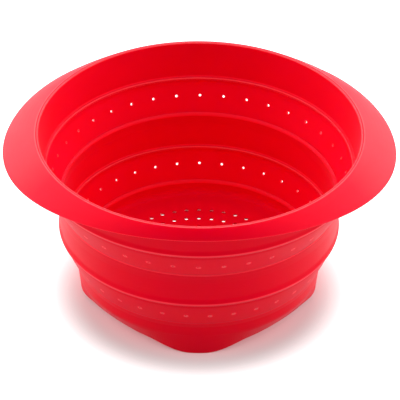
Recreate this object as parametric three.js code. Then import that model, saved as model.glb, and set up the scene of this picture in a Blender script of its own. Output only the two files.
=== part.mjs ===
// Collapsible colander, one silicone moulding that works as stiff rings joined by two fold bands.
// Millimetres, +Z up, origin on the table under the middle of the floor, wings along X, a foot at -Y.
import * as THREE from 'three';
import { mergeVertices } from 'three/addons/utils/BufferGeometryUtils.js';

// Heights of the zones, from the table up
const BASE_HEIGHT = 27.7;
const LOWER_FOLD_HEIGHT = 24.6;
const MIDDLE_WALL_HEIGHT = 27.1;
const UPPER_FOLD_HEIGHT = 24.6;
const UPPER_WALL_HEIGHT = 28;

// Radius of the middle of the wall where the base ends, and how much wider each zone above it gets
const BASE_TOP_RADIUS = 86.7;
const LOWER_FOLD_FLARE = 11.1;
const MIDDLE_WALL_FLARE = 1.1;
const UPPER_FOLD_FLARE = 12.3;
const UPPER_WALL_FLARE = 3.8;

// Thicknesses
const WALL = 2.4;
const HINGE_WALL = 1.4;
const HINGE_NECK = 3;
const BAND_WALL = 2;
const FLOOR_WALL = 2.4;
const RIM_WALL = 2.4;
const RIM_EDGE_WALL = 2;

// Rolled beads on the foot of each stiff wall, and rounded shoulders on the top of the lower ones
const BEAD_HEIGHT = 3.4;
const BEAD_DEPTH = 0.9;
const INNER_RIB_DEPTH = 0.6;
const SHOULDER_HEIGHT = 3;
const SHOULDER_DEPTH = 0.4;
const BEAD_SHARES = { swell: 0.15, crest: 0.4, fade: 0.7, ribCrest: 0.3, ribTop: 0.5 };
const SHOULDER_KNEE_SHARE = 0.6;

// Rim, which rolls over the opening and runs out into two wings
const RIM_DEPTH = 3;
const RIM_FRONT_REACH = 5;
const RIM_FRONT_DROP = 8.8;
const WING_REACH = 24;
const WING_DROP = 16;
const WING_PLAN_POWER = 1.9;
const WING_DROP_POWER = 4.5;
const RIM_CROWN = 1.6;
const RIM_ROOT_GAP = 0.5;
const RIM_TIP_SHARE = 0.25;
const CREST_SHARES = { outside: 1 / 12, inside: 1 / 3, insideFall: 1 / 6, rootFall: 1 / 2 };
const GRIP_HALF_ANGLE = THREE.MathUtils.degToRad(50);

// Base, a round skirt that turns into four corner feet with a raised edge between them
const FLOOR_LEVEL = 19.5;
const FLOOR_FILLET = 5;
const BASE_CORNER_INSET = 1.7;
const BASE_SIDE_INSET = 6.2;
const ARCH_HEIGHT = 5.5;
const FOOT_HALF_ANGLE = THREE.MathUtils.degToRad(27);
const FOOT_FLAT_HALF_ANGLE = THREE.MathUtils.degToRad(4);

// Drain holes
const BAND_HOLE_DIAMETER = 2.5;
const UPPER_BAND_HOLES = 38;
const LOWER_BAND_HOLES = 35;
const FLOOR_HOLE_DIAMETER = 2.8;
const FLOOR_RING_PITCH = 10.25;
const FLOOR_RINGS = 6;
const HOLES_PER_RING_STEP = 7;

// Faceting
const SEGMENTS = 60;
const FACETS_PER_HOLE = 2;
const HOLE_SIDES = 6;
const RIM_STEPS = 4;
const FOOT_STATIONS = 14;

// Levels of the fold lines
const LOWER_FOLD_BOTTOM = BASE_HEIGHT;
const LOWER_FOLD_TOP = LOWER_FOLD_BOTTOM + LOWER_FOLD_HEIGHT;
const UPPER_FOLD_BOTTOM = LOWER_FOLD_TOP + MIDDLE_WALL_HEIGHT;
const UPPER_FOLD_TOP = UPPER_FOLD_BOTTOM + UPPER_FOLD_HEIGHT;
const RIM_TOP = UPPER_FOLD_TOP + UPPER_WALL_HEIGHT;
const RIM_BASE = RIM_TOP - RIM_DEPTH;
const FLOOR_UNDERSIDE = FLOOR_LEVEL - FLOOR_WALL;

// Radii of the middle of the wall at the fold lines, and of the rim and the base at their edges
const MIDDLE_FOOT_RADIUS = BASE_TOP_RADIUS + LOWER_FOLD_FLARE;
const MIDDLE_TOP_RADIUS = MIDDLE_FOOT_RADIUS + MIDDLE_WALL_FLARE;
const UPPER_FOOT_RADIUS = MIDDLE_TOP_RADIUS + UPPER_FOLD_FLARE;
const RIM_RADIUS = UPPER_FOOT_RADIUS + UPPER_WALL_FLARE;
const RIM_FRONT_RADIUS = RIM_RADIUS + RIM_FRONT_REACH;
const WING_RADIUS = RIM_RADIUS + WING_REACH;
const BASE_CORNER_RADIUS = BASE_TOP_RADIUS - BASE_CORNER_INSET;

const FULL_TURN = 2 * Math.PI;
const { lerp, smoothstep } = THREE.MathUtils;

const SILICONE = {
  rim: new THREE.MeshStandardMaterial({ color: 0xf0384a, roughness: 0.55, metalness: 0 }),
  wall: new THREE.MeshStandardMaterial({ color: 0xdc0f2d, roughness: 0.55, metalness: 0 }),
  fold: new THREE.MeshStandardMaterial({ color: 0xe42338, roughness: 0.5, metalness: 0 }),
  base: new THREE.MeshStandardMaterial({ color: 0xc80d26, roughness: 0.55, metalness: 0 }),
};

const colander = new THREE.Group();

function addPiece(name, geometry, material) {
  const mesh = new THREE.Mesh(geometry, material);
  mesh.name = name;
  colander.add(mesh);
}

// Merges shared corners and drops faces that have shrunk to a line, which leaves one closed skin
function closedSkin(geometry) {
  const bare = geometry.clone();
  bare.deleteAttribute('normal');
  bare.deleteAttribute('uv');
  const merged = mergeVertices(bare);
  const corners = merged.index.array;
  const kept = [];
  for (let i = 0; i < corners.length; i += 3) {
    const [a, b, c] = [corners[i], corners[i + 1], corners[i + 2]];
    if (a !== b && b !== c && c !== a) kept.push(a, b, c);
  }
  merged.setIndex(kept);
  return merged;
}

// A ring turned from a closed profile of [radius, height] points
function turnedRing(profile) {
  const points = [...profile, profile[0]].map(([r, z]) => new THREE.Vector2(r, z));
  return closedSkin(new THREE.LatheGeometry(points, SEGMENTS).rotateX(Math.PI / 2));
}

// A place at an angle counted from the front, where the front is -Y and +90 degrees is +X
function place(angle, radius, z) {
  return new THREE.Vector3(radius * Math.sin(angle), -radius * Math.cos(angle), z);
}

// Skins a row of sections of [radius, height] points, one for each angle, into one closed solid
function sweptSections(angles, sectionAt, closed) {
  const sections = angles.map(sectionAt);
  const count = sections[0].length;
  const positions = [];
  sections.forEach((section, i) => {
    for (const [r, z] of section) positions.push(...place(angles[i], r, z).toArray());
  });
  const faces = [];
  const last = closed ? sections.length : sections.length - 1;
  for (let i = 0; i < last; i += 1) {
    const here = i * count;
    const next = ((i + 1) % sections.length) * count;
    for (let k = 0; k < count; k += 1) {
      const k1 = (k + 1) % count;
      faces.push(here + k, next + k, next + k1, here + k, next + k1, here + k1);
    }
  }
  if (!closed) {
    for (const [row, flip] of [[0, true], [sections.length - 1, false]]) {
      const outline = sections[row].map(([r, z]) => new THREE.Vector2(r, z));
      for (const [a, b, c] of THREE.ShapeUtils.triangulateShape(outline, [])) {
        const [p, q, s] = [row * count + a, row * count + b, row * count + c];
        faces.push(...(flip ? [p, q, s] : [p, s, q]));
      }
    }
  }
  const geometry = new THREE.BufferGeometry();
  geometry.setAttribute('position', new THREE.Float32BufferAttribute(positions, 3));
  geometry.setIndex(faces);
  return closedSkin(geometry);
}

// Radius of the middle of a wall that runs straight between two fold lines
function wallRadius(z, bottom, bottomRadius, top, topRadius) {
  return lerp(bottomRadius, topRadius, (z - bottom) / (top - bottom));
}

function upperWallRadius(z) {
  return wallRadius(z, UPPER_FOLD_TOP, UPPER_FOOT_RADIUS, RIM_TOP, RIM_RADIUS);
}

function middleWallRadius(z) {
  return wallRadius(z, LOWER_FOLD_TOP, MIDDLE_FOOT_RADIUS, UPPER_FOLD_BOTTOM, MIDDLE_TOP_RADIUS);
}

// A plain stretch of stiff wall
function wallRing(radiusAt, bottom, top) {
  return turnedRing([
    [radiusAt(bottom) - WALL / 2, bottom],
    [radiusAt(bottom) + WALL / 2, bottom],
    [radiusAt(top) + WALL / 2, top],
    [radiusAt(top) - WALL / 2, top],
  ]);
}

// The rolled bead at the foot of a stiff wall: it bulges outside, and has a thin rib inside
function beadRing(radiusAt, bottom) {
  const top = bottom + BEAD_HEIGHT;
  const outside = (share, depth) => {
    const z = lerp(bottom, top, share);
    return [radiusAt(z) + WALL / 2 + depth, z];
  };
  const inside = (share, depth) => {
    const z = lerp(bottom, top, share);
    return [radiusAt(z) - WALL / 2 - depth, z];
  };
  return turnedRing([
    inside(0, INNER_RIB_DEPTH / 2),
    outside(0, -BEAD_DEPTH / 2),
    outside(BEAD_SHARES.swell, BEAD_DEPTH / 2),
    outside(BEAD_SHARES.crest, BEAD_DEPTH),
    outside(BEAD_SHARES.fade, BEAD_DEPTH / 2),
    outside(1, 0),
    inside(1, 0),
    inside(BEAD_SHARES.ribTop, 0),
    inside(BEAD_SHARES.ribCrest, INNER_RIB_DEPTH),
  ]);
}

// The rounded shoulder that a stiff wall starts with, under a fold band
function shoulderProfile(radius, footRadius, top, bottom) {
  const kneeRadius = lerp(footRadius, radius, SHOULDER_KNEE_SHARE);
  const knee = lerp(bottom, top, SHOULDER_KNEE_SHARE);
  return [
    [footRadius + WALL / 2, bottom],
    [kneeRadius + WALL / 2 + SHOULDER_DEPTH / 2, knee],
    [radius + WALL / 2, top],
    [radius - WALL / 2, top],
    [kneeRadius - WALL / 2 - SHOULDER_DEPTH, knee],
    [footRadius - WALL / 2, bottom],
  ];
}

// Collects corners and faces of a skin that is built face by face
class Skin {
  positions = [];

  faces = [];

  // Adds points and gives the number of the first
  add(points) {
    const first = this.positions.length / 3;
    for (const point of points) this.positions.push(point.x, point.y, point.z);
    return first;
  }

  // A four-sided face, its corners in turn as seen from outside
  quad(corners) {
    const first = this.add(corners);
    this.faces.push(first, first + 1, first + 2, first, first + 2, first + 3);
  }

  // A flat four-sided face with a hole, both outlines in turn as seen from outside
  quadWithHole(corners, hole) {
    const along = corners[1].clone().sub(corners[0]).normalize();
    const normal = along.clone().cross(corners[3].clone().sub(corners[0])).normalize();
    const up = normal.clone().cross(along);
    const flat = (point) => new THREE.Vector2(point.dot(along), point.dot(up));
    const first = this.add([...corners, ...hole]);
    for (const face of THREE.ShapeUtils.triangulateShape(corners.map(flat), [hole.map(flat)])) {
      this.faces.push(...face.map((corner) => first + corner));
    }
  }

  toGeometry() {
    const geometry = new THREE.BufferGeometry();
    geometry.setAttribute('position', new THREE.Float32BufferAttribute(this.positions, 3));
    geometry.setIndex(this.faces);
    return closedSkin(geometry);
  }
}

// Corners of a hole of the given radius round a centre, in the plane across an axis
function holeOutline(centre, axis, level, radius) {
  const up = axis.clone().cross(level);
  return Array.from({ length: HOLE_SIDES }, (_, i) => {
    const turn = (i * FULL_TURN) / HOLE_SIDES;
    return centre.clone()
      .addScaledVector(level, radius * Math.cos(turn))
      .addScaledVector(up, radius * Math.sin(turn));
  });
}

// A fold band: it has a thin neck at both fold lines so that it can turn inside out, and a stiffer,
// perforated web between them. Each hole goes square through the middle of one facet.
function foldBand(bottom, bottomRadius, top, topRadius, holes, firstHoleAngle) {
  const slope = Math.atan2(topRadius - bottomRadius, top - bottom);
  const across = 1 / Math.cos(slope);
  const radiusAt = (z) => wallRadius(z, bottom, bottomRadius, top, topRadius);
  const levels = [
    { z: bottom, half: (HINGE_WALL / 2) * across },
    { z: bottom + HINGE_NECK, half: (BAND_WALL / 2) * across },
    { z: top - HINGE_NECK, half: (BAND_WALL / 2) * across },
    { z: top, half: (HINGE_WALL / 2) * across },
  ];
  const facets = holes * FACETS_PER_HOLE;
  const start = firstHoleAngle - Math.PI / facets;
  const angles = span(start, start + FULL_TURN, facets);
  angles[facets] = angles[0];
  const skin = new Skin();
  const last = levels.length - 1;
  for (let facet = 0; facet < facets; facet += 1) {
    const [left, right] = [angles[facet], angles[facet + 1]];
    const outer = (angle, k) => place(angle, radiusAt(levels[k].z) + levels[k].half, levels[k].z);
    const inner = (angle, k) => place(angle, radiusAt(levels[k].z) - levels[k].half, levels[k].z);
    for (let k = 0; k < last; k += 1) {
      const outside = [outer(left, k), outer(right, k), outer(right, k + 1), outer(left, k + 1)];
      const inside = [inner(right, k), inner(left, k), inner(left, k + 1), inner(right, k + 1)];
      if (k === 1 && facet % FACETS_PER_HOLE === 0) {
        const level = outside[1].clone().sub(outside[0]).normalize();
        const axis = level.clone().cross(outside[3].clone().sub(outside[0])).normalize();
        const sum = outside.reduce((total, point) => total.add(point), new THREE.Vector3());
        const centre = sum.divideScalar(outside.length);
        const depth = axis.dot(outside[0].clone().sub(inside[1]));
        const mouth = holeOutline(centre, axis, level, BAND_HOLE_DIAMETER / 2);
        const exit = mouth.map((point) => point.clone().addScaledVector(axis, -depth));
        skin.quadWithHole(outside, mouth);
        skin.quadWithHole(inside, exit);
        for (let i = 0; i < HOLE_SIDES; i += 1) {
          const j = (i + 1) % HOLE_SIDES;
          skin.quad([mouth[i], mouth[j], exit[j], exit[i]]);
        }
      } else {
        skin.quad(outside);
        skin.quad(inside);
      }
    }
    skin.quad([outer(left, last), outer(right, last), inner(right, last), inner(left, last)]);
    skin.quad([inner(left, 0), inner(right, 0), outer(right, 0), outer(left, 0)]);
  }
  return skin.toGeometry();
}

// Rim edge at an angle from the front: how far out it reaches, and how far it hangs below the crest
function rimEdge(angle) {
  const side = Math.abs(Math.sin(angle));
  return {
    radius: lerp(RIM_FRONT_RADIUS, WING_RADIUS, side ** WING_PLAN_POWER),
    drop: lerp(RIM_FRONT_DROP, WING_DROP, side ** WING_DROP_POWER),
  };
}

// Points of a curve that runs between two ends past one control point, ends included
function bend(start, control, end) {
  const curve = new THREE.QuadraticBezierCurve(start, control, end);
  return curve.getPoints(RIM_STEPS).map((p) => [p.x, p.y]);
}

const midpoint = (a, b) => a.clone().add(b).divideScalar(2);

// Section of the rim: up from the wall, over the crest, out and down to the edge, and back underneath
function rimSection(angle) {
  const { radius, drop } = rimEdge(angle);
  const root = upperWallRadius(RIM_BASE);
  const crest = new THREE.Vector2(RIM_RADIUS + RIM_WALL / 2, RIM_TOP - RIM_WALL * CREST_SHARES.outside);
  const edge = new THREE.Vector2(radius, RIM_TOP - drop);
  const along = edge.clone().sub(crest).normalize();
  const out = new THREE.Vector2(-along.y, along.x);
  const control = midpoint(crest, edge).addScaledVector(out, RIM_CROWN);
  const underRoot = new THREE.Vector2(root + WALL / 2 + RIM_ROOT_GAP, RIM_BASE);
  const underEdge = edge.clone().addScaledVector(out, -RIM_EDGE_WALL);
  const underControl = midpoint(underRoot, underEdge).addScaledVector(out, RIM_CROWN / 2);
  const tip = midpoint(edge, underEdge).addScaledVector(along, RIM_EDGE_WALL * RIM_TIP_SHARE);
  return [
    [root - WALL / 2, RIM_BASE],
    ...bend(underRoot, underControl, underEdge),
    [tip.x, tip.y],
    ...bend(edge, control, crest),
    [RIM_RADIUS, RIM_TOP],
    [RIM_RADIUS - WALL * CREST_SHARES.inside, RIM_TOP - RIM_DEPTH * CREST_SHARES.insideFall],
    [RIM_RADIUS - WALL / 2, RIM_TOP - RIM_DEPTH * CREST_SHARES.rootFall],
  ];
}

// Evenly spaced angles from one end to the other, ends included
function span(from, to, steps) {
  return Array.from({ length: steps + 1 }, (_, i) => lerp(from, to, i / steps));
}

function rimSector(middle, halfAngle) {
  const steps = Math.round((SEGMENTS * halfAngle) / Math.PI);
  return sweptSections(span(middle - halfAngle, middle + halfAngle, steps), rimSection, false);
}

const FEET = ['front_foot', 'right_foot', 'back_foot', 'left_foot'];
const FOOT_SPACING = FULL_TURN / FEET.length;

// How far an angle is from the nearest foot
function angleFromFoot(angle) {
  const half = FOOT_SPACING / 2;
  return Math.abs(THREE.MathUtils.euclideanModulo(angle + half, FOOT_SPACING) - half);
}

// Height of the base's lower edge, which stands on the table at a foot and is raised between two
function lowerEdgeHeight(angle) {
  return ARCH_HEIGHT * smoothstep(angleFromFoot(angle), FOOT_FLAT_HALF_ANGLE, FOOT_HALF_ANGLE);
}

function lowerEdgeRadius(angle) {
  const share = (1 - Math.cos(angleFromFoot(angle) * FEET.length)) / 2;
  return BASE_CORNER_RADIUS - BASE_SIDE_INSET * share;
}

// Outer radius of the skirt, which is round under the floor and has four corners at its lower edge
function skirtRadius(angle, z) {
  const share = (FLOOR_UNDERSIDE - z) / (FLOOR_UNDERSIDE - lowerEdgeHeight(angle));
  return lerp(BASE_TOP_RADIUS, lowerEdgeRadius(angle), share);
}

function skirtSection(angle, bottom, top) {
  return [
    [skirtRadius(angle, bottom) - WALL, bottom],
    [skirtRadius(angle, bottom), bottom],
    [skirtRadius(angle, top), top],
    [skirtRadius(angle, top) - WALL, top],
  ];
}

function baseSkirt() {
  const angles = span(0, FULL_TURN, SEGMENTS).slice(0, -1);
  return sweptSections(angles, (angle) => skirtSection(angle, ARCH_HEIGHT, FLOOR_UNDERSIDE), true);
}

function foot(middle) {
  const angles = span(middle - FOOT_HALF_ANGLE, middle + FOOT_HALF_ANGLE, FOOT_STATIONS);
  const sectionAt = (angle) => skirtSection(angle, lowerEdgeHeight(angle), ARCH_HEIGHT);
  return sweptSections(angles, sectionAt, false);
}

// The base wall above the floor: it starts with a shoulder and curves into the floor inside
function baseShoulder() {
  const shoulderBottom = BASE_HEIGHT - SHOULDER_HEIGHT;
  const shoulderFoot = BASE_TOP_RADIUS - WALL / 2;
  const shoulder = shoulderProfile(BASE_TOP_RADIUS, shoulderFoot, BASE_HEIGHT, shoulderBottom);
  const inside = BASE_TOP_RADIUS - WALL;
  const filletTop = Math.min(FLOOR_LEVEL + FLOOR_FILLET, shoulderBottom);
  const fillet = bend(
    new THREE.Vector2(inside, filletTop),
    new THREE.Vector2(inside, FLOOR_LEVEL),
    new THREE.Vector2(inside - FLOOR_FILLET, FLOOR_LEVEL),
  );
  return turnedRing([[BASE_TOP_RADIUS, FLOOR_LEVEL], ...shoulder, ...fillet.slice(1)]);
}

function floorPlate() {
  const outline = new THREE.Shape();
  outline.absarc(0, 0, BASE_TOP_RADIUS, 0, FULL_TURN, false);
  const addHole = (x, y) => {
    const corners = Array.from({ length: HOLE_SIDES }, (_, i) => {
      const turn = (i * FULL_TURN) / HOLE_SIDES;
      const corner = new THREE.Vector2(Math.cos(turn), Math.sin(turn));
      return corner.multiplyScalar(FLOOR_HOLE_DIAMETER / 2).add(new THREE.Vector2(x, y));
    });
    outline.holes.push(new THREE.Path(corners));
  };
  addHole(0, 0);
  for (let ring = 1; ring <= FLOOR_RINGS; ring += 1) {
    const radius = ring * FLOOR_RING_PITCH;
    const count = ring * HOLES_PER_RING_STEP;
    for (let i = 0; i < count; i += 1) {
      const { x, y } = place(Math.PI + (i * FULL_TURN) / count, radius, 0);
      addHole(x, y);
    }
  }
  const settings = { depth: FLOOR_WALL, bevelEnabled: false, curveSegments: SEGMENTS };
  return closedSkin(new THREE.ExtrudeGeometry(outline, settings).translate(0, 0, FLOOR_UNDERSIDE));
}

// Rim body
const restOfRim = Math.PI / 2 - GRIP_HALF_ANGLE;
addPiece('right_grip', rimSector(Math.PI / 2, GRIP_HALF_ANGLE), SILICONE.rim);
addPiece('left_grip', rimSector(-Math.PI / 2, GRIP_HALF_ANGLE), SILICONE.rim);
addPiece('front_rim', rimSector(0, restOfRim), SILICONE.rim);
addPiece('back_rim', rimSector(Math.PI, restOfRim), SILICONE.rim);
const upperWallFoot = UPPER_FOLD_TOP + BEAD_HEIGHT;
addPiece('upper_wall', wallRing(upperWallRadius, upperWallFoot, RIM_BASE), SILICONE.wall);
addPiece('upper_wall_bead', beadRing(upperWallRadius, UPPER_FOLD_TOP), SILICONE.wall);

// Upper fold band, with a hole at the front
const upperFoldEnds = [UPPER_FOLD_BOTTOM, MIDDLE_TOP_RADIUS, UPPER_FOLD_TOP, UPPER_FOOT_RADIUS];
addPiece('upper_fold_band', foldBand(...upperFoldEnds, UPPER_BAND_HOLES, 0), SILICONE.fold);

// Middle body
const middleWallTop = UPPER_FOLD_BOTTOM - SHOULDER_HEIGHT;
const middleShoulder = shoulderProfile(
  MIDDLE_TOP_RADIUS,
  middleWallRadius(middleWallTop),
  UPPER_FOLD_BOTTOM,
  middleWallTop,
);
addPiece('middle_shoulder', turnedRing(middleShoulder), SILICONE.wall);
const middleWallFoot = LOWER_FOLD_TOP + BEAD_HEIGHT;
addPiece('middle_wall', wallRing(middleWallRadius, middleWallFoot, middleWallTop), SILICONE.wall);
addPiece('middle_wall_bead', beadRing(middleWallRadius, LOWER_FOLD_TOP), SILICONE.wall);

// Lower fold band, with a hole at the back and none at the front
const lowerFoldEnds = [LOWER_FOLD_BOTTOM, BASE_TOP_RADIUS, LOWER_FOLD_TOP, MIDDLE_FOOT_RADIUS];
addPiece('lower_fold_band', foldBand(...lowerFoldEnds, LOWER_BAND_HOLES, Math.PI), SILICONE.fold);

// Base body
addPiece('base_shoulder', baseShoulder(), SILICONE.base);
addPiece('floor_plate', floorPlate(), SILICONE.base);
addPiece('base_skirt', baseSkirt(), SILICONE.base);
FEET.forEach((name, i) => addPiece(name, foot(i * FOOT_SPACING), SILICONE.base));

export default colander;
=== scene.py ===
# %% [markdown]
# # A collapsible colander
#
# The object is one moulding of matte red silicone. Three stiff rings stand on one another: the
# base, the middle wall, and the upper wall with its winged rim. Two thin, perforated bands join
# them, and fold inside out when the colander is pressed flat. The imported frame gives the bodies
# and their joints. This notebook makes the skins that ride on them, and works in millimetres
# until a mesh is made.

# %% The frame
import math

import bpy
from mathutils import Matrix, Vector


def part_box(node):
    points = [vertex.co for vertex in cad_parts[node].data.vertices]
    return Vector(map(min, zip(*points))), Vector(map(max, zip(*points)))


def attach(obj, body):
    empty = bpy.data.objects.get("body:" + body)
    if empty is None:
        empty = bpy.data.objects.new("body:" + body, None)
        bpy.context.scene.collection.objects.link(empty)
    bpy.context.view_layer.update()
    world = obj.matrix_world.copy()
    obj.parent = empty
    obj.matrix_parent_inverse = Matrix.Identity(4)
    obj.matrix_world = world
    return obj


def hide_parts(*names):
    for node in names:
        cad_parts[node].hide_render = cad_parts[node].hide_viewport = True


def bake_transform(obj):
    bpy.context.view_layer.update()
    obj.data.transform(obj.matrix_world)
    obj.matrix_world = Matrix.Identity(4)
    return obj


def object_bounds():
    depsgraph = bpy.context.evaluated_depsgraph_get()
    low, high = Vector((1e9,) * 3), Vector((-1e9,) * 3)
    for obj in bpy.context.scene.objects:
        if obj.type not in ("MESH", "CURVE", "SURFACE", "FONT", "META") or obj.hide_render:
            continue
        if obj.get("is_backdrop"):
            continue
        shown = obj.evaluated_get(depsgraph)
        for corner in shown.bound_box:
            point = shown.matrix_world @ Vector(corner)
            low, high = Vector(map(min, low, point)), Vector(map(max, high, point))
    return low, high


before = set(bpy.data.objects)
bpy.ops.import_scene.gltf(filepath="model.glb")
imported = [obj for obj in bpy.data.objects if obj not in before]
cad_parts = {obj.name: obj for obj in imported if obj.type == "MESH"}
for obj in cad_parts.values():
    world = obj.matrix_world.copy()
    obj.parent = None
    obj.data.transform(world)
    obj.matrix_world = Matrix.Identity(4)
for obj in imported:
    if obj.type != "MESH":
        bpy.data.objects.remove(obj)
cad_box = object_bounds()
MM = 0.001


def levels(node):
    """Lowest and highest level of a solid of the frame, in millimetres."""
    low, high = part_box(node)
    return low[2] / MM, high[2] / MM


LOWER_FOLD_FOOT, LOWER_FOLD_TOP = levels("lower_fold_band")
UPPER_FOLD_FOOT, UPPER_FOLD_TOP = levels("upper_fold_band")
FLOOR_UNDERSIDE, FLOOR_LEVEL = levels("floor_plate")
CREST = levels("front_rim")[1]
fold_lines = LOWER_FOLD_FOOT, LOWER_FOLD_TOP, UPPER_FOLD_FOOT, UPPER_FOLD_TOP
print("fold lines at", [round(level, 1) for level in fold_lines])

# %% [markdown]
# ## Sizes
#
# The radii are those of the middle of the wall at each fold line and at the rim. A stiff ring is
# 2.4 mm thick all over, which is what keeps its shape. A band thins out to 1.4 mm where it meets
# a ring, because it has to bend there, and is stiffer between its two hinges. A ring is drawn
# with enough segments round it to look smooth at its outline.

# %% Radii and walls
BASE_RADIUS = 86.7
MIDDLE_FOOT_RADIUS, MIDDLE_TOP_RADIUS = 97.8, 98.9
UPPER_FOOT_RADIUS, RIM_RADIUS = 111.2, 115.0
WALL = 2.4
HINGE_WALL, BAND_WALL = 1.4, 2.0
SEGMENTS, RIM_SEGMENTS = 280, 300


def mix(a, b, share):
    """What lies this share of the way from a to b. They may be numbers or wires."""
    return a + (b - a) * share


def upper_wall(z):
    """Radius of the middle of the upper wall at a level."""
    share = (z - UPPER_FOLD_TOP) / (CREST - UPPER_FOLD_TOP)
    return mix(UPPER_FOOT_RADIUS, RIM_RADIUS, share)


def middle_wall(z):
    """Radius of the middle of the middle wall at a level."""
    share = (z - LOWER_FOLD_TOP) / (UPPER_FOLD_FOOT - LOWER_FOLD_TOP)
    return mix(MIDDLE_FOOT_RADIUS, MIDDLE_TOP_RADIUS, share)


# %% [markdown]
# ## Node trees written as sums
#
# Both the shapes and the finish come from node trees, and a tree reads best as a formula. A wire
# is one output of a node. Adding or multiplying wires adds Math nodes behind them, and plain
# numbers work on either side. Every other node comes from one method, which sets the node's
# settings first, because some of them change which sockets it has.

# %% Wires
class Wire:
    """One output socket of a node. Sums, products and powers of wires become Math nodes."""

    def __init__(self, output):
        self.output = output

    @staticmethod
    def node(tree, kind, settings=None, sockets=None):
        """Adds a node, with values or wires in its sockets, and returns its first output."""
        made = tree.nodes.new(kind)
        for name, value in (settings or {}).items():
            setattr(made, name, value)
        for key, value in (sockets or {}).items():
            socket = made.inputs[key] if isinstance(key, int) else Wire.find(made.inputs, key)
            if isinstance(value, Wire):
                tree.links.new(value.output, socket)
            else:
                socket.default_value = value
        outputs = [output for output in made.outputs if output.enabled]
        return Wire(outputs[0]) if outputs else None

    @staticmethod
    def find(sockets, key):
        """The socket with this identifier or, failing that, the enabled one with this name."""
        for socket in sockets:
            if socket.identifier == key:
                return socket
        return next(socket for socket in sockets if socket.enabled and socket.name == key)

    def __getitem__(self, key):
        return Wire(Wire.find(self.output.node.outputs, key))

    def math(self, operation, *operands):
        """A Math node in this wire's tree, with these operands in its sockets."""
        return Wire.node(
            self.output.id_data, "ShaderNodeMath", {"operation": operation}, dict(enumerate(operands))
        )

    def __add__(self, other):
        return self.math("ADD", self, other)

    def __radd__(self, other):
        return self.math("ADD", other, self)

    def __sub__(self, other):
        return self.math("SUBTRACT", self, other)

    def __rsub__(self, other):
        return self.math("SUBTRACT", other, self)

    def __mul__(self, other):
        return self.math("MULTIPLY", self, other)

    def __rmul__(self, other):
        return self.math("MULTIPLY", other, self)

    def __truediv__(self, other):
        return self.math("DIVIDE", self, other)

    def __mod__(self, other):
        return self.math("MODULO", self, other)

    def __pow__(self, other):
        return self.math("POWER", self, other)

    def __abs__(self):
        return self.math("ABSOLUTE", self)


def sine(angle):
    return angle.math("SINE", angle)


def cosine(angle):
    return angle.math("COSINE", angle)


# %% [markdown]
# A shape tree starts with its named sizes. They and the material are inputs of the tree, which
# leaves them open to a change by hand in Blender.

# %% Starting a shape tree
SOCKET_KINDS = {float: "NodeSocketFloat", int: "NodeSocketInt"}


def start_tree(name, sizes):
    """A new geometry tree with these named sizes, and the wires of its inputs by name."""
    tree = bpy.data.node_groups.new(name, "GeometryNodeTree")
    tree.interface.new_socket("Geometry", in_out="INPUT", socket_type="NodeSocketGeometry")
    tree.interface.new_socket("Geometry", in_out="OUTPUT", socket_type="NodeSocketGeometry")
    for label, value in sizes.items():
        socket = tree.interface.new_socket(label, in_out="INPUT", socket_type=SOCKET_KINDS[type(value)])
        socket.default_value = value
    tree.interface.new_socket("Material", in_out="INPUT", socket_type="NodeSocketMaterial")
    inputs = tree.nodes.new("NodeGroupInput")
    return tree, {output.name: Wire(output) for output in inputs.outputs if output.name}


# %% [markdown]
# It ends with Realize Instances and Set Material, so that what leaves it is one plain mesh with
# its finish on. Between them it closes the seam of the ring that it made, and marks as sharp only
# the edges that turn by more than 35 degrees. Everything rounder is shaded smooth.

# %% Ending a shape tree
SHARP = math.radians(35)
SEAM = 0.005 * MM


def end_tree(tree, geometry, material):
    """Leads this geometry out of the tree as one closed mesh, shaded and with its finish on."""
    plain = Wire.node(tree, "GeometryNodeRealizeInstances", sockets={"Geometry": geometry})
    closed = Wire.node(
        tree, "GeometryNodeMergeByDistance", sockets={"Geometry": plain, "Distance": SEAM}
    )
    bend = Wire.node(tree, "GeometryNodeInputMeshEdgeAngle")["Unsigned Angle"]
    sharp = bend.math("GREATER_THAN", bend, SHARP)
    smooth = Wire.node(
        tree,
        "GeometryNodeSetShadeSmooth",
        {"domain": "EDGE"},
        {"Geometry": closed, "Selection": sharp, "Shade Smooth": False},
    )
    finished = Wire.node(
        tree, "GeometryNodeSetMaterial", sockets={"Geometry": smooth, "Material": material}
    )
    output = tree.nodes.new("NodeGroupOutput")
    tree.links.new(finished.output, output.inputs[0])


# %% [markdown]
# A tree runs on a seed, which is a section or a tile of the piece. The result is kept as a plain
# mesh at the origin, and the seed with its modifier is thrown away. The signed volume of the mesh
# is negative if its faces point inwards, so it says whether they have to be turned round.

# %% Growing a piece from a seed
CM3 = 1e-6


def signed_volume(mesh):
    """The volume inside a closed mesh, in cubic metres, negative if its faces point inwards."""
    mesh.calc_loop_triangles()
    corners = [vertex.co for vertex in mesh.vertices]
    triangles = [triangle.vertices for triangle in mesh.loop_triangles]
    return sum(corners[a].dot(corners[b].cross(corners[c])) / 6 for a, b, c in triangles)


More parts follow.
